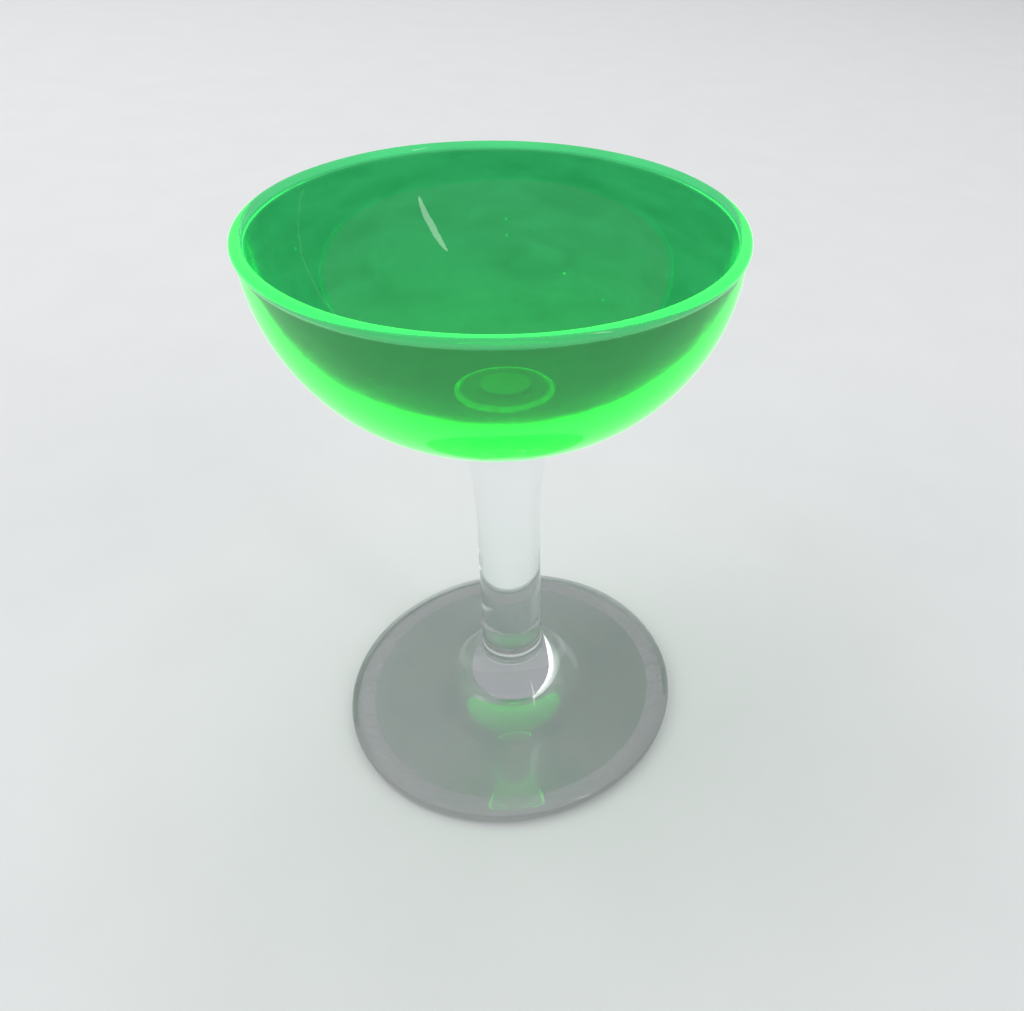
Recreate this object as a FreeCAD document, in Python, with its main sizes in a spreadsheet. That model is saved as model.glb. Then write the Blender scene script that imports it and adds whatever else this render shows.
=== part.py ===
import FreeCAD, Part
import os
from math import asin, atan2, hypot, pi, radians, sqrt

import Sketcher

# Footed uranium glass dish: a green bowl on a clear stem and a clear foot.
# Units are millimetres. Z is the dish's axis, and the origin is the centre of the circle it stands on.
# Every piece is turned about Z from half a section, drawn to the right of the axis.

SIZES = {
    "rim_radius": 46.0,        # outside of the bead
    "total_height": 122.0,     # table to the top of the bead
    "bead_radius": 1.15,       # the fire-polished rim is round in section
    "bead_fillet": 0.6,        # soft corner under the bead
    "wall_radius": 45.3,       # outside of the bowl's wall at its widest, level with the bead's middle
    "outer_curve": 40.2,       # radius of the wall's upper curve, outside
    "inner_curve": 33.0,       # and inside
    "inner_depth": 38.6,       # middle of the bead down to the lowest point inside
    "seat_height": 79.4,       # where the bowl sits on the button
    "seat_radius": 8.9,
    "button_radius": 10.4,
    "button_edge": 1.1,        # the button's edge is a half round, so this is half its thickness
    "stem_top_radius": 9.3,
    "shaft_top": 50.0,         # where the stem starts to widen towards the button
    "waist_radius": 6.8,
    "lower_flare": 17.0,       # radius of the curve at the stem's base
    "boss_radius": 11.0,       # where the stem sits on the foot
    "boss_height": 9.5,
    "dome_radius": 21.0,       # where the foot's low dome begins
    "dome_height": 4.4,
    "foot_radius": 38.0,
    "foot_edge": 1.5,          # the foot's edge is round too
    "land_width": 4.0,         # flat ring that the dish stands on
    "hollow_depth": 1.2,       # rise of the underside at the middle
}

START, END, CENTRE = 1, 2, 3
ORIGIN = (-1, 1)
Z_AXIS = -2
FULL_TURN = 360.0
TOUCH = 1e-4                   # two heights or volumes this close count as equal


def total(*names):
    """The sum of the named sizes, as a number and as a formula. A minus before a name takes it off."""
    value = 0.0
    formula = "0 mm"
    for name in names:
        sign, plain = ("-", name[1:]) if name.startswith("-") else ("+", name)
        value += SIZES[plain] if sign == "+" else -SIZES[plain]
        formula += " %s Sizes.%s * 1 mm" % (sign, plain)
    return value, formula


def number(*names):
    """The sum of the named sizes as a number alone."""
    return total(*names)[0]


def make_sheet(doc):
    """Puts every driving size into the spreadsheet, one named row each."""
    sheet = doc.addObject("Spreadsheet::Sheet", "Sizes")
    for row, (name, value) in enumerate(SIZES.items(), start=1):
        sheet.set("A%d" % row, name)
        sheet.set("B%d" % row, str(value))
        sheet.setAlias("B%d" % row, name)
    doc.recompute()
    return sheet


class Piece:
    """One piece of glass: a body whose half section is sketched on its own XZ plane and turned about Z."""

    def __init__(self, doc, name):
        self.doc = doc
        self.name = name
        self.body = doc.addObject("PartDesign::Body", name + "_body")
        self.body.Label = name
        self.sketch = self.body.newObject("Sketcher::SketchObject", name + "_section")
        planes = [p for p in self.body.Origin.OriginFeatures if p.Role == "XZ_Plane"]
        self.sketch.AttachmentSupport = [(planes[0], "")]
        self.sketch.MapMode = "FlatFace"

    def line(self, start, end):
        """A straight line between two points, each given as (r, z)."""
        segment = Part.LineSegment(FreeCAD.Vector(*start, 0), FreeCAD.Vector(*end, 0))
        return self.sketch.addGeometry(segment, False)

    def arc(self, centre, radius, first, last):
        """An arc that runs anticlockwise from the angle first to the angle last."""
        circle = Part.Circle(FreeCAD.Vector(*centre, 0), FreeCAD.Vector(0, 0, 1), radius)
        return self.sketch.addGeometry(Part.ArcOfCircle(circle, first, last), False)

    def arc_through(self, centre, start, end):
        """An arc round centre that runs anticlockwise from start to end."""
        first = atan2(start[1] - centre[1], start[0] - centre[0])
        last = atan2(end[1] - centre[1], end[0] - centre[0])
        radius = hypot(start[0] - centre[0], start[1] - centre[1])
        return self.arc(centre, radius, first, last if last > first else last + 2 * pi)

    def fix(self, kind, *where):
        """Adds a constraint that has no size."""
        self.sketch.addConstraint(Sketcher.Constraint(kind, *where))

    def join(self, *corners):
        """Brings two ends together at each corner, given as (line, end, line, end)."""
        for corner in corners:
            self.fix("Coincident", *corner)

    def size(self, kind, label, names, *where):
        """Adds a size, and binds it to the sum of the named sizes on the sheet."""
        value, formula = total(*names)
        index = self.sketch.addConstraint(Sketcher.Constraint(kind, *where, value))
        self.sketch.renameConstraint(index, label)
        self.sketch.setExpression("Constraints." + label, formula)

    def turn(self):
        """Turns the finished section about Z."""
        self.doc.recompute()
        if not self.sketch.FullyConstrained:
            raise RuntimeError("the section of the %s isn't fully held by its sizes" % self.name)
        turned = self.body.newObject("PartDesign::Revolution", self.name + "_turned")
        turned.Profile = self.sketch
        turned.ReferenceAxis = (self.sketch, ["V_Axis"])
        turned.Angle = FULL_TURN
        self.doc.recompute()
        return turned


def bottom_curve(side_r, side_z, side_curve, low_r, low_z):
    """The arc round the axis that carries on from a wall's upper curve and ends at a low point.

    The upper curve has the radius side_curve round (side_r, side_z). The answer is the new arc's radius
    and the height of its middle, from the two lengths that have to agree: low point to middle, and the
    upper curve's middle to the new middle plus side_curve.
    """
    drop = side_z - low_z
    rest = (low_r ** 2 - side_r ** 2 + drop ** 2 - side_curve ** 2) / 2
    square = drop ** 2 - side_curve ** 2
    middle = rest * drop
    last = rest ** 2 - (side_curve * side_r) ** 2
    rise = (-middle + sqrt(middle ** 2 - square * last)) / square
    if (rest + rise * drop) < 0 or rise < 0:
        rise = (-middle - sqrt(middle ** 2 - square * last)) / square
    return hypot(low_r, rise + drop), side_z + rise


def make_bowl(doc):
    """The uranium glass bowl: thin at the rim, thick at the bottom, with a round bead at the rim."""
    piece = Piece(doc, "bowl")
    middle = number("total_height", "-bead_radius")
    bead, bead_r = number("bead_radius"), number("rim_radius", "-bead_radius")
    wall, seat, seat_r = number("wall_radius"), number("seat_height"), number("seat_radius")
    outer, outer_r = number("outer_curve"), number("wall_radius", "-outer_curve")
    inner, inner_r = number("inner_curve"), bead_r - bead - number("inner_curve")
    low = middle - number("inner_depth")

    soft = number("bead_fillet")
    soft_r = wall + soft
    soft_z = middle - sqrt((bead + soft) ** 2 - (soft_r - bead_r) ** 2)
    lean = atan2(middle - soft_z, bead_r - soft_r)
    outer_low, outer_low_z = bottom_curve(outer_r, middle, outer, seat_r, seat)
    inner_low, inner_low_z = bottom_curve(inner_r, middle, inner, 0, low)
    outer_turn = atan2(middle - outer_low_z, outer_r)
    inner_turn = atan2(middle - inner_low_z, inner_r)

    base = piece.line((0, seat), (seat_r, seat))
    outside_low = piece.arc((0, outer_low_z), outer_low, atan2(seat - outer_low_z, seat_r), outer_turn)
    outside = piece.arc((outer_r, middle), outer, outer_turn, asin((soft_z - middle) / outer))
    under_rim = piece.arc((soft_r, soft_z), soft, lean, pi)
    rim = piece.arc((bead_r, middle), bead, lean - pi, pi)
    inside = piece.arc((inner_r, middle), inner, inner_turn, 0)
    inside_low = piece.arc((0, inner_low_z), inner_low, -pi / 2, inner_turn)
    core = piece.line((0, low), (0, seat))

    piece.join(
        (base, END, outside_low, START),
        (inside_low, START, core, START),
        (core, END, base, START),
    )
    piece.fix("Tangent", outside_low, END, outside, START)
    piece.fix("Tangent", outside, END, under_rim, END)
    piece.fix("Tangent", under_rim, START, rim, START)
    piece.fix("Tangent", rim, END, inside, END)
    piece.fix("Tangent", inside, START, inside_low, END)
    piece.fix("PointOnObject", outside_low, CENTRE, Z_AXIS)
    piece.fix("PointOnObject", inside_low, CENTRE, Z_AXIS)
    piece.fix("PointOnObject", inside_low, START, Z_AXIS)
    piece.fix("PointOnObject", core, END, Z_AXIS)
    piece.fix("Horizontal", base)
    piece.fix("Horizontal", outside, CENTRE, rim, CENTRE)
    piece.fix("Horizontal", inside, CENTRE, rim, CENTRE)
    piece.size("DistanceX", "bead_place", ["rim_radius", "-bead_radius"], *ORIGIN, rim, CENTRE)
    piece.size("DistanceY", "bead_height", ["total_height", "-bead_radius"], *ORIGIN, rim, CENTRE)
    piece.size("Radius", "bead", ["bead_radius"], rim)
    piece.size("Radius", "bead_fillet", ["bead_fillet"], under_rim)
    piece.size("DistanceX", "wall_place", ["wall_radius", "-outer_curve"], *ORIGIN, outside, CENTRE)
    piece.size("Radius", "outer_curve", ["outer_curve"], outside)
    piece.size("Radius", "inner_curve", ["inner_curve"], inside)
    piece.size("DistanceY", "inner_depth", ["inner_depth"], inside_low, START, rim, CENTRE)
    piece.size("DistanceY", "seat_height", ["seat_height"], *ORIGIN, base, END)
    piece.size("DistanceX", "seat_radius", ["seat_radius"], *ORIGIN, base, END)
    piece.turn()
    return piece.body


def make_button(doc):
    """The disc of glass pressed between the bowl and the stem, with a half-round edge."""
    piece = Piece(doc, "button")
    edge = number("button_edge")
    flat_r = number("button_radius", "-button_edge")
    top = number("seat_height")
    bottom = top - 2 * edge

    under = piece.line((0, bottom), (flat_r, bottom))
    side = piece.arc((flat_r, top - edge), edge, -pi / 2, pi / 2)
    over = piece.line((flat_r, top), (0, top))
    core = piece.line((0, top), (0, bottom))

    piece.join((over, END, core, START), (core, END, under, START))
    piece.fix("Tangent", under, END, side, START)
    piece.fix("Tangent", side, END, over, START)
    piece.fix("Horizontal", under)
    piece.fix("Horizontal", over)
    piece.fix("PointOnObject", core, START, Z_AXIS)
    piece.fix("PointOnObject", core, END, Z_AXIS)
    piece.size("DistanceX", "flat", ["button_radius", "-button_edge"], *ORIGIN, side, CENTRE)
    piece.size("Radius", "edge", ["button_edge"], side)
    piece.size("DistanceY", "top", ["seat_height"], *ORIGIN, over, START)
    piece.turn()
    return piece.body


def make_stem(doc):
    """The solid clear stem: straight at the waist, widening to the button and sweeping out to the foot."""
    piece = Piece(doc, "stem")
    waist, base_r, flare = number("waist_radius"), number("boss_radius"), number("lower_flare")
    base, shaft_top = number("boss_height"), number("shaft_top")
    top, top_r = number("seat_height", "-button_edge", "-button_edge"), number("stem_top_radius")
    shaft_bottom = base + sqrt(flare ** 2 - (waist + flare - base_r) ** 2)
    widening = top_r - waist
    sweep = ((top - shaft_top) ** 2 + widening ** 2) / (2 * widening)

    under = piece.line((0, base), (base_r, base))
    lower = piece.arc_through((waist + flare, shaft_bottom), (waist, shaft_bottom), (base_r, base))
    shaft = piece.line((waist, shaft_bottom), (waist, shaft_top))
    upper = piece.arc_through((waist + sweep, shaft_top), (top_r, top), (waist, shaft_top))
    over = piece.line((top_r, top), (0, top))
    core = piece.line((0, top), (0, base))

    piece.join(
        (under, END, lower, END),
        (upper, START, over, START),
        (over, END, core, START),
        (core, END, under, START),
    )
    piece.fix("Tangent", lower, START, shaft, START)
    piece.fix("Tangent", shaft, END, upper, END)
    piece.fix("Vertical", shaft)
    piece.fix("Horizontal", under)
    piece.fix("Horizontal", over)
    piece.fix("PointOnObject", core, START, Z_AXIS)
    piece.fix("PointOnObject", core, END, Z_AXIS)
    piece.size("DistanceY", "base_height", ["boss_height"], *ORIGIN, under, END)
    piece.size("DistanceX", "base_radius", ["boss_radius"], *ORIGIN, under, END)
    piece.size("Radius", "lower_flare", ["lower_flare"], lower)
    piece.size("DistanceX", "waist", ["waist_radius"], *ORIGIN, shaft, START)
    piece.size("DistanceY", "shaft_top", ["shaft_top"], *ORIGIN, shaft, END)
    piece.size("DistanceX", "top_radius", ["stem_top_radius"], *ORIGIN, over, START)
    piece.size("DistanceY", "top", ["seat_height", "-button_edge", "-button_edge"], *ORIGIN, over, START)
    piece.turn()
    return piece.body


def make_foot(doc):
    """The clear foot: round edge, gentle slope, low dome, and a hollow underneath inside a flat ring."""
    piece = Piece(doc, "foot")
    edge, edge_r = number("foot_edge"), number("foot_radius", "-foot_edge")
    land_r = number("foot_radius", "-foot_edge", "-land_width")
    hollow = number("hollow_depth")
    dome_r, dome = number("dome_radius"), number("dome_height")
    boss_r, boss = number("boss_radius"), number("boss_height")
    slope_angle = radians(85)
    dome_sweep = 16.0
    dome_centre = (dome_r + 1.4, dome + dome_sweep)
    hollow_sweep = (land_r ** 2 + hollow ** 2) / (2 * hollow)

    land = piece.line((land_r, 0), (edge_r, 0))
    side = piece.arc((edge_r, edge), edge, -pi / 2, slope_angle)
    slope = piece.line((edge_r, 2 * edge), (dome_r, dome))
    rise = piece.arc_through(dome_centre, (boss_r, boss), (dome_r, dome))
    over = piece.line((boss_r, boss), (0, boss))
    core = piece.line((0, boss), (0, hollow))
    under = piece.arc_through((0, hollow - hollow_sweep), (land_r, 0), (0, hollow))

    piece.join(
        (rise, START, over, START),
        (over, END, core, START),
        (core, END, under, END),
        (under, START, land, START),
    )
    piece.fix("Tangent", land, END, side, START)
    piece.fix("Tangent", side, END, slope, START)
    piece.fix("Tangent", slope, END, rise, END)
    piece.fix("Horizontal", land)
    piece.fix("Horizontal", over)
    piece.fix("PointOnObject", core, START, Z_AXIS)
    piece.fix("PointOnObject", core, END, Z_AXIS)
    piece.fix("PointOnObject", under, CENTRE, Z_AXIS)
    piece.size("DistanceY", "edge_height", ["foot_edge"], *ORIGIN, side, CENTRE)
    piece.size("DistanceX", "edge_place", ["foot_radius", "-foot_edge"], *ORIGIN, side, CENTRE)
    piece.size("Radius", "edge", ["foot_edge"], side)
    piece.size("DistanceX", "land", ["land_width"], land, START, land, END)
    piece.size("DistanceX", "dome_place", ["dome_radius"], *ORIGIN, slope, END)
    piece.size("DistanceY", "dome_height", ["dome_height"], *ORIGIN, slope, END)
    piece.size("DistanceX", "boss_radius", ["boss_radius"], *ORIGIN, over, START)
    piece.size("DistanceY", "boss_height", ["boss_height"], *ORIGIN, over, START)
    piece.size("DistanceY", "hollow", ["hollow_depth"], *ORIGIN, core, END)
    piece.turn()
    return piece.body


def check(doc, bodies):
    """Stops if an object failed, or if a piece isn't one valid solid."""
    failed = [o.Name for o in doc.Objects if "Invalid" in o.State or "Error" in o.State]
    if failed:
        raise RuntimeError("failed: " + ", ".join(failed))
    for body in bodies:
        shape = body.Shape
        if shape.isNull() or not shape.isValid() or len(shape.Solids) != 1:
            raise RuntimeError("the %s isn't one valid solid" % body.Label)


def check_stack(bodies):
    """Stops if a piece doesn't meet the one below it face to face, or cuts into it."""
    for upper, lower in zip(bodies, bodies[1:]):
        gap = upper.Shape.distToShape(lower.Shape)[0]
        shared = upper.Shape.common(lower.Shape).Volume
        if gap > TOUCH or shared > TOUCH:
            raise RuntimeError("the %s and the %s don't meet" % (upper.Label, lower.Label))


def main():
    doc = FreeCAD.newDocument("footed_dish")
    make_sheet(doc)
    bodies = [make_bowl(doc), make_button(doc), make_stem(doc), make_foot(doc)]
    doc.recompute()
    check(doc, bodies)
    check_stack(bodies)
    os.makedirs("parts", exist_ok=True)
    for body in bodies:
        body.Shape.exportStep("parts/%s.step" % body.Label)
        box = body.Shape.optimalBoundingBox()
        print("%-7s z %6.2f to %6.2f, radius %5.2f, %8.1f mm3"
              % (body.Label, box.ZMin, box.ZMax, box.XMax, body.Shape.Volume))


main()
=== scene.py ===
"""Looks of a footed uranium glass dish: a glowing green bowl fused to a clear stem and a clear foot.

Every length is in metres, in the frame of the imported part: Z is the dish's axis and the origin is the
centre of the ring it stands on. Each piece of glass is a closed, finely turned mesh that stands for one
solid of the part, and takes its place and its height from that solid's box.
"""

from __future__ import annotations

import sys
import logging
import math
from collections.abc import Callable
from dataclasses import dataclass, field
from enum import Enum
from functools import cache

import bmesh
import bpy
from mathutils import Matrix, Vector, noise


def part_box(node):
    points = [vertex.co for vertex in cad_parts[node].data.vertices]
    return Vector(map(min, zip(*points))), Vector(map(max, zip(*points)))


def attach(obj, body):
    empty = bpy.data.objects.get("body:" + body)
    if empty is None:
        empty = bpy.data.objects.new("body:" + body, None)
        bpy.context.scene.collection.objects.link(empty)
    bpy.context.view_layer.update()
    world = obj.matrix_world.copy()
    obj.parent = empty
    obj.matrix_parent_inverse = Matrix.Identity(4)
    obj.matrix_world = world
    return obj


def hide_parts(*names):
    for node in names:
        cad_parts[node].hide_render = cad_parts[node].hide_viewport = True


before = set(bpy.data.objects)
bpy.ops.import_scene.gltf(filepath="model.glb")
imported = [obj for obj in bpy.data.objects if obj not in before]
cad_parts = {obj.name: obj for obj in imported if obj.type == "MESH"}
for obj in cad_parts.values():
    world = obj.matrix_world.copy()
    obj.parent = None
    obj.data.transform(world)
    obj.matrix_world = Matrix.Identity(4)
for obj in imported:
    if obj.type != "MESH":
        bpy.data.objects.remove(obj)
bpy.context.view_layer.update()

MM = 0.001
BODY = "root"
ON_AXIS = 1e-9
NOISE_SEED = 1
LOG = logging.getLogger("footed_dish")

Point = tuple[float, float]
Span = tuple[float, float]
Triple = tuple[float, float, float]
Colour = tuple[float, float, float, float]


class Slot(Enum):
    """The record's material slots."""

    URANIUM = "uranium_glass"
    CLEAR = "clear_glass"


class GlowEdge(Enum):
    """Where a green piece's painted glow is brightest: at its top, or round its side."""

    TOP = "top"
    SIDE = "side"


class Node(Enum):
    """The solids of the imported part."""

    BOWL = "bowl"
    BUTTON = "button"
    STEM = "stem"
    FOOT = "foot"


@cache
def lowest(node: Node) -> float:
    """The height of a solid's underside."""
    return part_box(node.value)[0].z


@cache
def highest(node: Node) -> float:
    """The height of a solid's top."""
    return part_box(node.value)[1].z


@cache
def widest(node: Node) -> float:
    """The radius of a solid about the axis."""
    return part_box(node.value)[1].x


class Section:
    """Half of a turned piece's outline, from the axis round to the axis, as (radius, height) points."""

    def __init__(self, start: Point, pitch: float) -> None:
        """Begins the outline.

        Args:
            start: Where the outline leaves the axis.
            pitch: The longest step between two points of the outline.
        """
        self.points: list[Point] = [start]
        self.pitch = pitch

    def line(self, end: Point) -> None:
        """Goes straight on to a point.

        Args:
            end: The point to reach.
        """
        start = self.points[-1]
        steps = max(1, math.ceil(math.dist(start, end) / self.pitch))
        for i in range(1, steps + 1):
            share = i / steps
            self.points.append((start[0] + (end[0] - start[0]) * share,
                                start[1] + (end[1] - start[1]) * share))

    def arc(self, centre: Point, end: Point, finest: int = 6) -> None:
        """Goes on round a centre, the short way, to a point as far from it as the last one.

        Args:
            centre: The middle of the arc.
            end: The point to reach.
            finest: The fewest steps that the arc may take.
        """
        start = self.points[-1]
        radius = math.dist(start, centre)
        first = math.atan2(start[1] - centre[1], start[0] - centre[0])
        last = math.atan2(end[1] - centre[1], end[0] - centre[0])
        turn = (last - first + math.pi) % math.tau - math.pi
        steps = max(finest, math.ceil(radius * abs(turn) / self.pitch))
        for i in range(1, steps):
            angle = first + turn * i / steps
            self.points.append((centre[0] + radius * math.cos(angle),
                                centre[1] + radius * math.sin(angle)))
        self.points.append(end)


@dataclass(frozen=True)
class Stray:
    """How far hand-worked glass strays from a true turned shape."""

    reach: float
    swell: float
    seed: float

    def shift(self, place: Vector) -> Vector:
        """The small step that moves a point of the true shape to where the glass set.

        Args:
            place: The point on the true shape.

        Returns:
            The step, at most about reach long.
        """
        away = Vector((self.seed, -self.seed, self.seed * 0.5))
        return noise.noise_vector(place / self.swell + away) * self.reach


@dataclass(frozen=True)
class Seed:
    """A tiny round bubble caught in the glass."""

    place: Vector
    radius: float


@dataclass
class Lathe:
    """Turns an outline about the axis into one closed mesh."""

    steps: int = 256
    crease: float = math.radians(35)
    bubble_detail: int = 2

    def turn(self, name: str, section: Section, stray: Stray,
             held: Callable[[Vector], float], seeds: list[Seed]) -> bpy.types.Object:
        """Makes the turned mesh and any bubbles inside it.

        Args:
            name: The new object's name.
            section: The outline, from the axis round to the axis.
            stray: How far the surface strays from the true shape.
            held: How much of the stray a point takes, from 0 where the piece meets another to 1.
            seeds: Bubbles in the glass.

        Returns:
            The new object.
        """
        mesh = bpy.data.meshes.new(name)
        shape = bmesh.new()
        rings = [self._ring(shape, place, stray, held) for place in section.points]
        for lower, upper in zip(rings, rings[1:]):
            self._band(shape, lower, upper)
        for seed in seeds:
            self._bubble(shape, seed)
        shape.to_mesh(mesh)
        shape.free()
        mesh.shade_smooth()
        mesh.set_sharp_from_angle(angle=self.crease)
        piece = bpy.data.objects.new(name, mesh)
        bpy.context.scene.collection.objects.link(piece)
        return piece

    def _ring(self, shape: bmesh.types.BMesh, place: Point, stray: Stray,
              held: Callable[[Vector], float]) -> list[bmesh.types.BMVert]:
        """Turns one point of the outline.

        Args:
            shape: The mesh being built.
            place: The point, as (radius, height).
            stray: How far the surface strays from the true shape.
            held: How much of the stray a point takes.

        Returns:
            One vertex if the point is on the axis, or a full ring.
        """
        radius, height = place
        if radius < ON_AXIS:
            return [shape.verts.new((0.0, 0.0, height))]
        ring = []
        for i in range(self.steps):
            angle = math.tau * i / self.steps
            at = Vector((radius * math.cos(angle), radius * math.sin(angle), height))
            ring.append(shape.verts.new(at + stray.shift(at) * held(at)))
        return ring

    def _band(self, shape: bmesh.types.BMesh, first: list[bmesh.types.BMVert],
              second: list[bmesh.types.BMVert]) -> None:
        """Joins two rings with faces that look outward when the outline runs anticlockwise.

        Args:
            shape: The mesh being built.
            first: The earlier ring, or the one vertex on the axis.
            second: The later one.
        """
        count = max(len(first), len(second))
        for i in range(count):
            j = (i + 1) % count
            if len(first) == 1:
                shape.faces.new((first[0], second[j], second[i]))
            elif len(second) == 1:
                shape.faces.new((first[i], first[j], second[0]))
            else:
                shape.faces.new((first[i], first[j], second[j], second[i]))

    def _bubble(self, shape: bmesh.types.BMesh, seed: Seed) -> None:
        """Adds a bubble as a hollow, so its faces look into the bubble.

        Args:
            shape: The mesh being built.
            seed: The bubble.
        """
        made = bmesh.ops.create_icosphere(
            shape, subdivisions=self.bubble_detail, radius=seed.radius,
            matrix=Matrix.Translation(seed.place))
        faces = {face for vertex in made["verts"] for face in vertex.link_faces}
        bmesh.ops.reverse_faces(shape, faces=list(faces))


@dataclass(frozen=True)
class Cloud:
    """Soft noise: how large its swells are along each axis in metres, its finer layers and its twist."""

    size: Triple
    detail: float
    twist: float


class Paint:
    """Builds one node material."""

    def __init__(self, name: str) -> None:
        """Starts an empty material.

        Args:
            name: The material's name.
        """
        self.material = bpy.data.materials.new(name)
        self.material.use_nodes = True
        self.tree = self.material.node_tree
        self.tree.nodes.clear()

    def add(self, kind: str, **values: object) -> bpy.types.Node:
        """Adds a node and sets its plain inputs.

        Args:
            kind: The node's Blender type.
            values: Inputs by name, with _ for a space, or settings of the node itself.

        Returns:
            The new node.
        """
        made = self.tree.nodes.new(kind)
        for name, value in values.items():
            if hasattr(made, name):
                setattr(made, name, value)
            else:
                made.inputs[name.replace("_", " ")].default_value = value
        return made

    def link(self, source: bpy.types.NodeSocket, target: bpy.types.NodeSocket) -> None:
        """Joins two sockets."""
        self.tree.links.new(source, target)

    def ramp(self, factor: bpy.types.NodeSocket, *stops: tuple[float, Colour]) -> bpy.types.NodeSocket:
        """A colour that changes along a factor.

        Args:
            factor: The socket that gives the place along the ramp.
            stops: Places from 0 to 1, each with its colour.

        Returns:
            The ramp's colour socket.
        """
        made = self.add("ShaderNodeValToRGB")
        made.color_ramp.interpolation = "B_SPLINE"
        while len(made.color_ramp.elements) < len(stops):
            made.color_ramp.elements.new(1.0)
        for element, (place, colour) in zip(made.color_ramp.elements, stops):
            element.position = place
            element.color = colour
        self.link(factor, made.inputs["Fac"])
        return made.outputs["Color"]

    def spread(self, value: bpy.types.NodeSocket, low: float, high: float,
               to_low: float, to_high: float) -> bpy.types.NodeSocket:
        """Maps one range of a value onto another, and holds it at the ends.

        Args:
            value: The socket to map.
            low: Where the first range begins.
            high: Where the first range ends.
            to_low: The result at low.
            to_high: The result at high.

        Returns:
            The mapped socket.
        """
        made = self.add("ShaderNodeMapRange", From_Min=low, From_Max=high, To_Min=to_low, To_Max=to_high)
        made.interpolation_type = "SMOOTHSTEP"
        self.link(value, made.inputs["Value"])
        return made.outputs["Result"]

    def place(self) -> bpy.types.NodeSocket:
        """The point's place in the part's frame, in metres."""
        return self.add("ShaderNodeTexCoord").outputs["Object"]

    def stretched(self, size: Triple) -> bpy.types.NodeSocket:
        """The point's place, counted in lengths of its own along each axis.

        Args:
            size: The length along each axis, in metres.

        Returns:
            The socket with the place.
        """
        made = self.add("ShaderNodeMapping", vector_type="POINT")
        made.inputs["Scale"].default_value = [1.0 / side for side in size]
        self.link(self.place(), made.inputs["Vector"])
        return made.outputs["Vector"]

    def cloud(self, shape: Cloud) -> bpy.types.NodeSocket:
        """Soft noise that stays with the glass.

        Args:
            shape: The noise's size, detail and twist.

        Returns:
            The noise's factor socket.
        """
        made = self.add("ShaderNodeTexNoise", Scale=1.0, Detail=shape.detail, Distortion=shape.twist)
        self.link(self.stretched(shape.size), made.inputs["Vector"])
        return made.outputs["Fac"]

    def ripples(self, height: bpy.types.NodeSocket, depth: float,
                strength: float) -> bpy.types.NodeSocket:
        """A normal bent by a height.

        Args:
            height: The socket that gives the height, from 0 to 1.
            depth: The height in metres that 1 stands for.
            strength: How much of it shows.

        Returns:
            The bent normal.
        """
        made = self.add("ShaderNodeBump", Strength=strength, Distance=depth)
        self.link(height, made.inputs["Height"])
        return made.outputs["Normal"]

    def finish(self, surface: bpy.types.NodeSocket,
               volume: bpy.types.NodeSocket | None = None) -> bpy.types.Material:
        """Closes the material.

        Args:
            surface: The surface shader.
            volume: What fills the piece, if anything.

        Returns:
            The finished material.
        """
        out = self.add("ShaderNodeOutputMaterial")
        self.link(surface, out.inputs["Surface"])
        if volume is not None:
            self.link(volume, out.inputs["Volume"])
        return self.material


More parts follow.
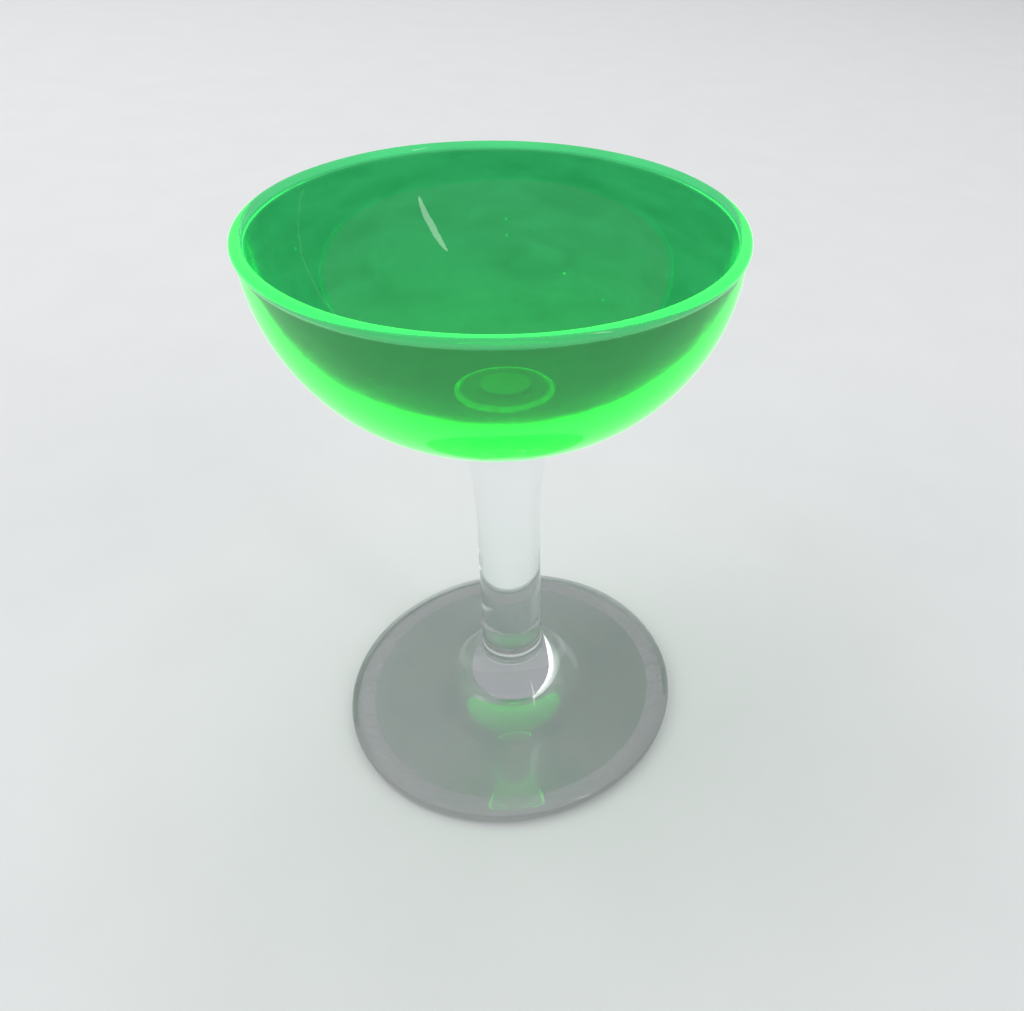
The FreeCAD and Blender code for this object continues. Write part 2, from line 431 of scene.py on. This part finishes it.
@dataclass(frozen=True)
class UraniumGlass:
    """Green glass with a painted glow: it gives off its own green light through its whole thickness, so that
    its thick parts and edges are brightest, and its surface gives off more light towards one edge.
    """

    name: str
    glow_edge: GlowEdge
    glow_start: float
    glow_full: float
    pale: Colour = (0.030, 0.33, 0.115, 1.0)
    deep: Colour = (0.008, 0.22, 0.060, 1.0)
    filter_colour: Colour = (0.10, 0.97, 0.45, 1.0)
    filter_density: float = 150.0
    # Painted glow: green light given off by the glass itself, in place of fluorescence under ultraviolet
    # light, which no lamp here gives.
    painted_glow_colour: Colour = (0.0, 1.0, 0.28, 1.0)
    painted_glow_per_metre: float = 34.0
    painted_skin_glow: Colour = (0.0, 0.04, 0.008, 1.0)
    painted_rim_glow: Colour = (0.20, 1.0, 0.46, 1.0)
    painted_skin_strength: float = 0.34
    index: float = 1.51
    smoothest: float = 0.006
    roughest: float = 0.035
    cords: Cloud = Cloud((0.016, 0.016, 0.005), 3.0, 0.8)
    cord_span: Span = (0.30, 0.68)
    swells: Cloud = Cloud((0.011, 0.011, 0.011), 1.0, 0.3)
    swell_depth: float = 0.00012
    swell_strength: float = 0.5
    marks: Cloud = Cloud((0.0022, 0.0022, 0.0022), 4.0, 0.5)
    mark_span: Span = (0.42, 0.72)

    def material(self) -> bpy.types.Material:
        """Builds the material.

        Returns:
            The finished material.
        """
        paint = Paint(self.name)
        cords = paint.cloud(self.cords)
        swells = paint.cloud(self.swells)
        marks = paint.cloud(self.marks)
        rim = paint.spread(self._measure(paint), self.glow_start, self.glow_full, 0.0, 1.0)
        glass = paint.add("ShaderNodeBsdfPrincipled", IOR=self.index, Transmission_Weight=1.0,
                          Emission_Strength=self.painted_skin_strength)
        few, many = self.cord_span
        paint.link(paint.ramp(cords, (few, self.deep), (many, self.pale)), glass.inputs["Base Color"])
        # Painted glow on the surface: faint all over, strongest at the edge that glow_edge names.
        paint.link(paint.ramp(rim, (0.0, self.painted_skin_glow), (1.0, self.painted_rim_glow)),
                   glass.inputs["Emission Color"])
        paint.link(paint.spread(marks, *self.mark_span, self.smoothest, self.roughest),
                   glass.inputs["Roughness"])
        paint.link(paint.ripples(swells, self.swell_depth, self.swell_strength), glass.inputs["Normal"])
        body = paint.add("ShaderNodeAddShader")
        stain = paint.add("ShaderNodeVolumeAbsorption", Color=self.filter_colour, Density=self.filter_density)
        # Painted glow through the body of the glass, so the thickest glass along a view looks brightest.
        light = paint.add("ShaderNodeEmission", Color=self.painted_glow_colour, Strength=self.painted_glow_per_metre)
        paint.link(stain.outputs["Volume"], body.inputs[0])
        paint.link(light.outputs["Emission"], body.inputs[1])
        return paint.finish(glass.outputs["BSDF"], body.outputs["Shader"])

    def _measure(self, paint: Paint) -> bpy.types.NodeSocket:
        """The height or the radius that the painted glow's brighter edge is measured by.

        Args:
            paint: The material being built.

        Returns:
            The socket with that length, in metres.
        """
        if self.glow_edge is GlowEdge.TOP:
            parts = paint.add("ShaderNodeSeparateXYZ")
            paint.link(paint.place(), parts.inputs["Vector"])
            return parts.outputs["Z"]
        level = paint.add("ShaderNodeVectorMath", operation="MULTIPLY")
        level.inputs[1].default_value = (1.0, 1.0, 0.0)
        paint.link(paint.place(), level.inputs[0])
        length = paint.add("ShaderNodeVectorMath", operation="LENGTH")
        paint.link(level.outputs["Vector"], length.inputs[0])
        return length.outputs["Value"]


@dataclass(frozen=True)
class ClearGlass:
    """Colourless glass with faint cords, light handling marks and, on a foot, a worn standing ring."""

    name: str
    bright: Colour = (0.99, 1.0, 1.0, 1.0)
    dull: Colour = (0.93, 0.97, 0.975, 1.0)
    index: float = 1.5
    smoothest: float = 0.0
    roughest: float = 0.02
    worn_roughness: float = 0.22
    worn_height: float = 0.0
    cords: Cloud = Cloud((0.009, 0.009, 0.030), 3.0, 0.8)
    cord_span: Span = (0.30, 0.60)
    swells: Cloud = Cloud((0.012, 0.012, 0.012), 1.0, 0.3)
    swell_depth: float = 0.00010
    swell_strength: float = 0.25
    marks: Cloud = Cloud((0.0018, 0.0018, 0.0018), 4.0, 0.6)
    mark_span: Span = (0.45, 0.75)
    scratches: Cloud = Cloud((0.0011, 0.00035, 0.0011), 5.0, 1.2)
    scratch_span: Span = (0.35, 0.60)

    def material(self) -> bpy.types.Material:
        """Builds the material.

        Returns:
            The finished material.
        """
        paint = Paint(self.name)
        cords = paint.cloud(self.cords)
        swells = paint.cloud(self.swells)
        marks = paint.cloud(self.marks)
        glass = paint.add("ShaderNodeBsdfPrincipled", IOR=self.index, Transmission_Weight=1.0)
        few, many = self.cord_span
        paint.link(paint.ramp(cords, (few, self.dull), (many, self.bright)), glass.inputs["Base Color"])
        rough = paint.spread(marks, *self.mark_span, self.smoothest, self.roughest)
        if self.worn_height > 0:
            rough = self._worn(paint, rough)
        paint.link(rough, glass.inputs["Roughness"])
        paint.link(paint.ripples(swells, self.swell_depth, self.swell_strength), glass.inputs["Normal"])
        return paint.finish(glass.outputs["BSDF"])

    def _worn(self, paint: Paint, rough: bpy.types.NodeSocket) -> bpy.types.NodeSocket:
        """Roughens the ring that the dish stands on, in fine broken scratches.

        Args:
            paint: The material being built.
            rough: The roughness elsewhere.

        Returns:
            The roughness everywhere.
        """
        scratches = paint.cloud(self.scratches)
        up = paint.add("ShaderNodeSeparateXYZ")
        paint.link(paint.place(), up.inputs["Vector"])
        near = paint.spread(up.outputs["Z"], 0.0, self.worn_height, 1.0, 0.0)
        worn = paint.add("ShaderNodeMath", operation="MULTIPLY")
        paint.link(near, worn.inputs[0])
        paint.link(paint.spread(scratches, *self.scratch_span, 0.0, self.worn_roughness), worn.inputs[1])
        both = paint.add("ShaderNodeMath", operation="MAXIMUM")
        paint.link(worn.outputs["Value"], both.inputs[0])
        paint.link(rough, both.inputs[1])
        return both.outputs["Value"]


@dataclass(frozen=True)
class FusedJoint:
    """The inside of a fused joint between two clear pieces, which light crosses without bending."""

    name: str
    clearest: Colour = (1.0, 1.0, 1.0, 1.0)
    dimmest: Colour = (0.985, 0.995, 0.995, 1.0)
    haze: Cloud = Cloud((0.004, 0.004, 0.004), 2.0, 0.4)
    haze_span: Span = (0.3, 0.6)
    level: float = 0.5
    reach: float = 0.1 * MM

    def material(self) -> bpy.types.Material:
        """Builds the material.

        Returns:
            The finished material.
        """
        paint = Paint(self.name)
        haze = paint.cloud(self.haze)
        open_glass = paint.add("ShaderNodeBsdfTransparent")
        few, many = self.haze_span
        paint.link(paint.ramp(haze, (few, self.dimmest), (many, self.clearest)), open_glass.inputs["Color"])
        return paint.finish(open_glass.outputs["BSDF"])

    def mark(self, piece: bpy.types.Object, radius: float, height: float) -> None:
        """Gives a piece this finish, on the level faces of its fused joint.

        Args:
            piece: The piece of glass, which has its own finish already.
            radius: The joint's radius.
            height: The joint's height.
        """
        place = len(piece.data.materials)
        piece.data.materials.append(self.material())
        for face in piece.data.polygons:
            middle = face.center
            level = abs(face.normal.z) > self.level and abs(middle.z - height) < self.reach
            if level and math.hypot(middle.x, middle.y) < radius:
                face.material_index = place


@dataclass(frozen=True)
class FloorPaint:
    """A plain pale matt table top."""

    name: str
    light: Colour = (0.74, 0.745, 0.75, 1.0)
    shade: Colour = (0.715, 0.72, 0.725, 1.0)
    mottle: Cloud = Cloud((0.03, 0.03, 0.03), 4.0, 0.2)
    mottle_span: Span = (0.3, 0.7)
    roughness: float = 0.75

    def material(self) -> bpy.types.Material:
        """Builds the material.

        Returns:
            The finished material.
        """
        paint = Paint(self.name)
        mottle = paint.cloud(self.mottle)
        matt = paint.add("ShaderNodeBsdfPrincipled", Roughness=self.roughness)
        few, many = self.mottle_span
        paint.link(paint.ramp(mottle, (few, self.shade), (many, self.light)), matt.inputs["Base Color"])
        return paint.finish(matt.outputs["BSDF"])


@dataclass
class Bowl:
    """The green bowl: near to a half ball outside, thin under the rim and thicker below."""

    bead: float = 1.15 * MM
    soft: float = 0.6 * MM
    wall: float = 45.3 * MM
    outer_curve: float = 40.2 * MM
    inner_curve: float = 33.0 * MM
    inner_depth: float = 38.6 * MM
    seat: float = 8.9 * MM
    pitch: float = 0.45 * MM
    held_height: float = 12 * MM
    bead_steps: int = 18
    bead_inner_steps: int = 12
    farthest_middle: float = 10.0
    halvings: int = 80
    stray: Stray = Stray(0.16 * MM, 26 * MM, 3.0)
    seeds: tuple[Triple, ...] = (
        (88.0, 25.0, 0.20), (88.0, 31.0, 0.20), (66.0, 43.0, 0.26), (46.0, 49.0, 0.20),
        (340.0, 62.0, 0.22), (159.0, 18.0, 0.16), (205.0, 33.0, 0.16), (300.0, 38.0, 0.20),
        (352.0, 27.0, 0.14), (131.0, 52.0, 0.18), (243.0, 14.0, 0.14), (18.0, 13.0, 0.13),
    )

    def low_curve(self, side: float, curve: float, low: Point) -> tuple[float, Point]:
        """The arc round the axis that carries the wall's upper curve on to its low end.

        Args:
            side: The radius at which the upper curve has its middle.
            curve: The upper curve's radius.
            low: The low end, as (radius, height below the upper curve's middle).

        Returns:
            How far the arc's middle lies above the upper curve's middle, and where the two arcs meet.
        """
        low_r, drop = low
        most, least = self.farthest_middle, 0.0
        for _ in range(self.halvings):
            rise = (most + least) / 2
            if math.hypot(low_r, rise + drop) - math.hypot(side, rise) > curve:
                least = rise
            else:
                most = rise
        far = math.hypot(side, rise)
        return rise, (side + side / far * curve, -rise / far * curve)

    def section(self) -> Section:
        """The bowl's outline, up the outside, over the bead at the rim and down the inside.

        Returns:
            The outline.
        """
        top, low = highest(Node.BOWL), lowest(Node.BOWL)
        middle = top - self.bead
        bead_r = widest(Node.BOWL) - self.bead
        outer_r = self.wall - self.outer_curve
        inner_r = bead_r - self.bead - self.inner_curve
        soft_r = self.wall + self.soft
        soft_z = middle - math.sqrt((self.bead + self.soft) ** 2 - (soft_r - bead_r) ** 2)
        bead_low = (bead_r + (soft_r - bead_r) * self.bead / (self.bead + self.soft),
                    middle + (soft_z - middle) * self.bead / (self.bead + self.soft))
        out_rise, out_meet = self.low_curve(outer_r, self.outer_curve, (self.seat, middle - low))
        in_rise, in_meet = self.low_curve(inner_r, self.inner_curve, (0.0, self.inner_depth))
        outline = Section((0.0, low), self.pitch)
        outline.line((self.seat, low))
        outline.arc((0.0, middle + out_rise), (out_meet[0], middle + out_meet[1]))
        outline.arc((outer_r, middle), (soft_r - self.soft, soft_z))
        outline.arc((soft_r, soft_z), bead_low)
        outline.arc((bead_r, middle), (bead_r, top), self.bead_steps)
        outline.arc((bead_r, middle), (bead_r - self.bead, middle), self.bead_inner_steps)
        outline.arc((inner_r, middle), (in_meet[0], middle + in_meet[1]))
        outline.arc((0.0, middle + in_rise), (0.0, middle - self.inner_depth))
        return outline

    def held(self, place: Vector) -> float:
        """How much of the stray a point takes: none at the seat, all of it a little way up."""
        return min(1.0, max(0.0, (place.z - lowest(Node.BOWL)) / self.held_height))

    def bubbles(self) -> list[Seed]:
        """Places the bubbles in the middle of the wall, each by its turn, its dip below the rim and its size.

        Returns:
            The bubbles.
        """
        top = highest(Node.BOWL) - self.bead
        inner_r = widest(Node.BOWL) - 2 * self.bead - self.inner_curve
        outer_r = self.wall - self.outer_curve
        across = (inner_r + outer_r) / 2
        curve = (self.inner_curve + self.outer_curve) / 2
        found = []
        for turn, down, size in self.seeds:
            lean, angle = math.radians(down), math.radians(turn)
            radius = across + curve * math.cos(lean)
            place = Vector((radius * math.cos(angle), radius * math.sin(angle),
                            top - curve * math.sin(lean)))
            found.append(Seed(place, size * MM))
        return found

    def build(self, lathe: Lathe) -> bpy.types.Object:
        """Makes the bowl."""
        return lathe.turn("bowl_glass", self.section(), self.stray, self.held, self.bubbles())

    def dress(self, piece: bpy.types.Object) -> None:
        """Gives the bowl its glass, with a painted glow that is brightest along the rim.

        Args:
            piece: The bowl.
        """
        top = highest(Node.BOWL)
        # Painted glow: the rim bead is given the strongest green light.
        finish = UraniumGlass("uranium_glass_bowl", GlowEdge.TOP, top - 2 * self.bead, top - self.bead)
        piece.data.materials.append(finish.material())


@dataclass
class Button:
    """The green disc between the bowl and the stem, with a half-round edge."""

    pitch: float = 0.3 * MM
    sink: float = 0.04 * MM
    edge_steps: int = 10
    fused_margin: float = 1.6 * MM
    held_width: float = 0.8 * MM
    # Painted glow: a strong green ring of light round the disc's edge.
    glow_start: float = 1.4 * MM
    glow_full: float = 0.7 * MM
    painted_edge_glow: Colour = (0.005, 1.0, 0.07, 1.0)
    painted_edge_glow_strength: float = 5.0
    stray: Stray = Stray(0.05 * MM, 9 * MM, 7.0)

    def section(self) -> Section:
        """The disc's outline, with its flat top let a hair into the bowl.

        Returns:
            The outline.
        """
        low, high = lowest(Node.BUTTON), highest(Node.BUTTON)
        edge = (high - low) / 2
        flat = widest(Node.BUTTON) - edge
        outline = Section((0.0, low), self.pitch)
        outline.line((flat, low))
        outline.arc((flat, low + edge), (flat + edge, low + edge), self.edge_steps)
        outline.arc((flat, low + edge), (flat, high), self.edge_steps)
        outline.line((flat - self.pitch, high))
        outline.line((flat - 2 * self.pitch, high + self.sink))
        outline.line((0.0, high + self.sink))
        return outline

    def held(self, place: Vector) -> float:
        """How much of the stray a point takes: none where the disc is fused."""
        out = math.hypot(place.x, place.y) - (widest(Node.BUTTON) - self.fused_margin)
        return min(1.0, max(0.0, out / self.held_width))

    def build(self, lathe: Lathe) -> bpy.types.Object:
        """Makes the disc."""
        return lathe.turn("button_glass", self.section(), self.stray, self.held, [])

    def dress(self, piece: bpy.types.Object) -> None:
        """Gives the disc the bowl's glass, with a painted glow that is brightest round its edge.

        Args:
            piece: The disc.
        """
        side = widest(Node.BUTTON)
        finish = UraniumGlass("uranium_glass_button", GlowEdge.SIDE, side - self.glow_start,
                              side - self.glow_full, painted_rim_glow=self.painted_edge_glow, painted_skin_strength=self.painted_edge_glow_strength)
        piece.data.materials.append(finish.material())


@dataclass
class Stem:
    """The solid clear stem, straight at the waist and wider at both ends."""

    waist: float = 6.8 * MM
    top_radius: float = 9.3 * MM
    shaft_top: float = 50.0 * MM
    flare: float = 17.0 * MM
    pitch: float = 0.5 * MM
    sink: float = 0.04 * MM
    held_height: float = 8 * MM
    stray: Stray = Stray(0.12 * MM, 20 * MM, 11.0)

    def section(self) -> Section:
        """The stem's outline, with its ends let a hair into the pieces above and below.

        Returns:
            The outline.
        """
        low, high = lowest(Node.STEM), highest(Node.STEM)
        base = widest(Node.STEM)
        shaft_low = low + math.sqrt(self.flare ** 2 - (self.waist + self.flare - base) ** 2)
        widening = self.top_radius - self.waist
        sweep = ((high - self.shaft_top) ** 2 + widening ** 2) / (2 * widening)
        outline = Section((0.0, low - self.sink), self.pitch)
        outline.line((base - self.sink, low - self.sink))
        outline.line((base, low))
        outline.arc((self.waist + self.flare, shaft_low), (self.waist, shaft_low))
        outline.line((self.waist, self.shaft_top))
        outline.arc((self.waist + sweep, self.shaft_top), (self.top_radius, high))
        outline.line((self.top_radius - self.pitch, high))
        outline.line((self.top_radius - 2 * self.pitch, high + self.sink))
        outline.line((0.0, high + self.sink))
        return outline

    def held(self, place: Vector) -> float:
        """How much of the stray a point takes: none at the two fused ends."""
        near = min(place.z - lowest(Node.STEM), highest(Node.STEM) - place.z)
        return min(1.0, max(0.0, near / self.held_height))

    def build(self, lathe: Lathe) -> bpy.types.Object:
        """Makes the stem."""
        return lathe.turn("stem_glass", self.section(), self.stray, self.held, [])

    def dress(self, piece: bpy.types.Object) -> None:
        """Gives the stem its glass, and the end that is fused to the foot its open joint.

        Args:
            piece: The stem.
        """
        piece.data.materials.append(ClearGlass("clear_glass_stem").material())
        joint = FusedJoint("fused_joint_stem")
        joint.mark(piece, widest(Node.STEM), lowest(Node.STEM) + 0.5 * self.sink)


@dataclass
class Foot:
    """The clear foot: round edge, gentle slope, low dome, and a shallow hollow underneath."""

    edge: float = 1.5 * MM
    land: float = 4.0 * MM
    hollow: float = 1.2 * MM
    boss: float = 11.0 * MM
    dome: float = 21.0 * MM
    dome_height: float = 4.4 * MM
    pitch: float = 0.5 * MM
    edge_steps: int = 10
    ring_height: float = 0.3 * MM
    held_height: float = 1.2 * MM
    held_depth: float = 3 * MM
    worn_height: float = 0.25 * MM
    stray: Stray = Stray(0.10 * MM, 24 * MM, 17.0)

    def section(self) -> Section:
        """The foot's outline, along the underside, round the edge and up over the dome.

        Returns:
            The outline.
        """
        low, high = lowest(Node.FOOT), highest(Node.FOOT)
        edge_r = widest(Node.FOOT) - self.edge
        land_r = edge_r - self.land
        slope_start, slope_end = self.slope(edge_r, low)
        hollow_sweep = (land_r ** 2 + self.hollow ** 2) / (2 * self.hollow)
        outline = Section((0.0, low + self.hollow), self.pitch)
        outline.arc((0.0, low + self.hollow - hollow_sweep), (land_r, low))
        outline.line((edge_r, low))
        outline.arc((edge_r, low + self.edge), (edge_r + self.edge, low + self.edge), self.edge_steps)
        outline.arc((edge_r, low + self.edge), slope_start, self.edge_steps)
        outline.line(slope_end)
        outline.arc(self.dome_middle(slope_start, slope_end), (self.boss, high))
        outline.line((0.0, high))
        return outline

    def slope(self, edge_r: float, low: float) -> tuple[Point, Point]:
        """The straight slope, from where it leaves the round edge to where the dome begins.

        Args:
            edge_r: The radius at which the round edge has its middle.
            low: The height of the foot's underside.

        Returns:
            Its outer end and its inner end.
        """
        inner = (self.dome, low + self.dome_height)
        away = (inner[0] - edge_r, inner[1] - (low + self.edge))
        angle = math.atan2(away[1], away[0]) - math.acos(self.edge / math.hypot(*away))
        outer = (edge_r + self.edge * math.cos(angle), low + self.edge + self.edge * math.sin(angle))
        return outer, inner

    def dome_middle(self, outer: Point, inner: Point) -> Point:
        """The middle of the dome's curve, which leaves the slope without a corner and ends at the stem.

        Args:
            outer: The slope's outer end.
            inner: The slope's inner end, where the curve begins.

        Returns:
            The middle, above the glass.
        """
        run = (inner[0] - outer[0], inner[1] - outer[1])
        length = math.hypot(*run)
        normal = (run[1] / length, -run[0] / length)
        if normal[1] < 0:
            normal = (-normal[0], -normal[1])
        step = (self.boss - inner[0], highest(Node.FOOT) - inner[1])
        radius = (step[0] ** 2 + step[1] ** 2) / (2 * (step[0] * normal[0] + step[1] * normal[1]))
        return inner[0] + normal[0] * radius, inner[1] + normal[1] * radius

    def held(self, place: Vector) -> float:
        """How much of the stray a point takes: none on the standing ring or under the stem.

        Args:
            place: The point on the true shape.

        Returns:
            The share, from 0 to 1.
        """
        up = (place.z - self.ring_height) / self.held_height
        down = (highest(Node.FOOT) - place.z) / self.held_depth
        return min(1.0, max(0.0, min(up, down)))

    def build(self, lathe: Lathe) -> bpy.types.Object:
        """Makes the foot."""
        return lathe.turn("foot_glass", self.section(), self.stray, self.held, [])

    def dress(self, piece: bpy.types.Object) -> None:
        """Gives the foot its glass, and the place where the stem is fused on its open joint.

        Args:
            piece: The foot.
        """
        finish = ClearGlass("clear_glass_foot", worn_height=self.worn_height)
        piece.data.materials.append(finish.material())
        FusedJoint("fused_joint_foot").mark(piece, self.boss, highest(Node.FOOT))


@dataclass
class Dish:
    """The whole footed dish."""

    lathe: Lathe = field(default_factory=Lathe)
    bowl: Bowl = field(default_factory=Bowl)
    button: Button = field(default_factory=Button)
    stem: Stem = field(default_factory=Stem)
    foot: Foot = field(default_factory=Foot)

    def build(self) -> None:
        """Builds, dresses and places every piece of glass."""
        order = (
            (self.bowl, Node.BOWL, Slot.URANIUM),
            (self.button, Node.BUTTON, Slot.URANIUM),
            (self.stem, Node.STEM, Slot.CLEAR),
            (self.foot, Node.FOOT, Slot.CLEAR),
        )
        for maker, node, slot in order:
            piece = maker.build(self.lathe)
            maker.dress(piece)
            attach(piece, BODY)
            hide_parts(node.value)
            LOG.info("%s: %d faces, in %s", piece.name, len(piece.data.polygons), slot.value)


@dataclass(frozen=True)
class SoftBox:
    """One soft light, which looks at the middle of the dish."""

    name: str
    place: Triple
    size: Span
    power: float
    mirrored: bool
    through: bool

    def hang(self) -> None:
        """Hangs the light, shown or hidden in shiny surfaces and through the glass as its fields say."""
        data = bpy.data.lights.new(self.name, "AREA")
        data.shape = "ELLIPSE"
        data.size, data.size_y = self.size
        data.energy = self.power
        lamp = bpy.data.objects.new(self.name, data)
        lamp.location = self.place
        lamp.visible_glossy = self.mirrored
        lamp.visible_transmission = self.through
        middle = Vector((0.0, 0.0, highest(Node.BOWL) / 2))
        lamp.rotation_mode = "QUATERNION"
        lamp.rotation_quaternion = (middle - Vector(self.place)).to_track_quat("-Z", "Y")
        bpy.context.scene.collection.objects.link(lamp)


@dataclass
class Studio:
    """The floor, the soft lights and the camera."""

    floor_half: float = 4.0
    view_turn: float = 0.17776
    view_down: float = 0.55373
    view_tilt: float = -0.06462
    stand_back: float = 3.70766
    stand_up: float = 4.12718
    lens: float = 34.69
    sensor: float = 36.0
    shift: Point = (-0.140, -0.106)
    nearest: float = 0.01
    farthest: float = 50.0
    air: Colour = (0.38, 0.39, 0.40, 1.0)
    lights: tuple[SoftBox, ...] = (
        SoftBox("key_light", (-1.20, 0.10, 1.15), (2.2, 1.8), 15.0, mirrored=False, through=True),
        SoftBox("strip_light", (0.55, -0.60, 0.60), (0.06, 0.70), 0.5, mirrored=True, through=False),
        SoftBox("fill_light", (1.30, -0.70, 0.95), (1.4, 1.2), 5.0, mirrored=False, through=True),
        SoftBox("top_light", (0.10, 0.60, 1.60), (2.2, 2.2), 14.0, mirrored=False, through=False),
    )

    def build(self) -> None:
        """Builds everything that isn't the dish."""
        self.floor()
        self.world()
        for light in self.lights:
            light.hang()
        self.camera()

    def floor(self) -> None:
        """Lays the floor."""
        mesh = bpy.data.meshes.new("floor")
        half = self.floor_half
        mesh.from_pydata([(-half, -half, 0), (half, -half, 0), (half, half, 0), (-half, half, 0)],
                         [], [(0, 1, 2, 3)])
        mesh.materials.append(FloorPaint("pale_floor").material())
        piece = bpy.data.objects.new("floor", mesh)
        bpy.context.scene.collection.objects.link(piece)

    def world(self) -> None:
        """Fills the room with even light."""
        world = bpy.data.worlds.new("room")
        world.use_nodes = True
        world.node_tree.nodes["Background"].inputs["Color"].default_value = self.air
        bpy.context.scene.world = world

    def camera(self) -> None:
        """Sets the camera, from where it stands and how it is turned, tipped down and tilted."""
        data = bpy.data.cameras.new("camera")
        data.lens, data.sensor_width = self.lens, self.sensor
        data.shift_x, data.shift_y = self.shift
        data.clip_start, data.clip_end = self.nearest, self.farthest
        data.dof.use_dof = False
        eye = bpy.data.objects.new("camera", data)
        turn, down, tilt = self.view_turn, self.view_down, self.view_tilt
        ahead = Vector((math.sin(turn) * math.cos(down), math.cos(turn) * math.cos(down), -math.sin(down)))
        right = Vector((math.cos(turn), -math.sin(turn), 0.0))
        below = ahead.cross(right)
        across = right * math.cos(tilt) + below * math.sin(tilt)
        under = below * math.cos(tilt) - right * math.sin(tilt)
        rim = widest(Node.BOWL)
        matrix = Matrix((across, -under, -ahead)).transposed().to_4x4()
        matrix.translation = Vector((0.0, -self.stand_back * rim, self.stand_up * rim))
        eye.matrix_world = matrix
        bpy.context.scene.collection.objects.link(eye)
        bpy.context.scene.camera = eye


@dataclass
class Darkroom:
    """How light is traced and shown."""

    bounces: int = 32
    diffuse_bounces: int = 4

    def apply(self) -> None:
        """Lets light run long enough inside the glass, and shows its colours unchanged."""
        scene = bpy.context.scene
        scene.cycles.max_bounces = self.bounces
        scene.cycles.transmission_bounces = self.bounces
        scene.cycles.glossy_bounces = self.bounces
        scene.cycles.diffuse_bounces = self.diffuse_bounces
        scene.cycles.transparent_max_bounces = self.bounces
        scene.view_settings.view_transform = "Standard"


def main() -> None:
    """Builds the dish and the studio round it."""
    logging.basicConfig(level=logging.INFO, format="%(name)s: %(message)s", stream=sys.stdout)
    noise.seed_set(NOISE_SEED)
    Dish().build()
    Studio().build()
    Darkroom().apply()


if __name__ == "__main__":
    main()
